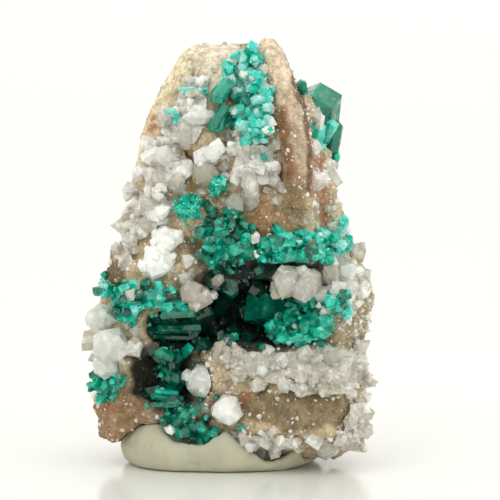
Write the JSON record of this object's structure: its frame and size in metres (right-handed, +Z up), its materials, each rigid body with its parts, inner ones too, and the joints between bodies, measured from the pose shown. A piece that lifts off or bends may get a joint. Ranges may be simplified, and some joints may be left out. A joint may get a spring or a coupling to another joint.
{
  "type": "dioptase crystal specimen",
  "caption": "Miniature mineral specimen: green dioptase crystals with quartz and calcite on brown limestone, standing pressed into a lump of mounting putty.",
  "frame": {"origin": "on the putty's flat underside, about below the middle of the specimen", "axes": "+Z up, +X to the right of the show face as it is seen from the front, +Y from the show face into the rock"},
  "size_m": [0.0346, 0.0261, 0.0507],
  "materials": {
    "limestone": "rough broken",
    "dioptase": "glassy crystal faces",
    "quartz": "glassy crystal faces",
    "calcite": "pearly, milky crystal faces",
    "putty": "smooth kneaded putty"
  },
  "bodies": {
    "root": {"limestone_rock": "limestone", "mounting_putty": "putty", "dioptase_crest": "dioptase", "dioptase_crown": "dioptase", "dioptase_drop_upper": "dioptase", "dioptase_drop_lower": "dioptase", "dioptase_ball_left": "dioptase", "dioptase_ball_right": "dioptase", "dioptase_middle": "dioptase", "dioptase_right_band": "dioptase", "dioptase_far_band": "dioptase", "dioptase_left_mass": "dioptase", "dioptase_vug_blade": "dioptase", "dioptase_vug_prisms": "dioptase", "dioptase_vug_mass": "dioptase", "dioptase_low_left": "dioptase", "dioptase_hollow": "dioptase", "dioptase_foot": "dioptase", "calcite_white": "calcite", "calcite_left_block": "calcite", "calcite_upper": "calcite", "calcite_low": "calcite", "calcite_pale_block": "calcite", "quartz_ball": "quartz", "quartz_tongue": "quartz", "quartz_centre": "quartz", "quartz_toe_lump": "quartz", "quartz_upper_left": "quartz", "quartz_left": "quartz", "quartz_left_low": "quartz", "quartz_middle": "quartz", "quartz_right_mix": "quartz", "quartz_shelf": "quartz", "quartz_right_toe": "quartz", "quartz_sill": "quartz"}
  },
  "joints": []
}
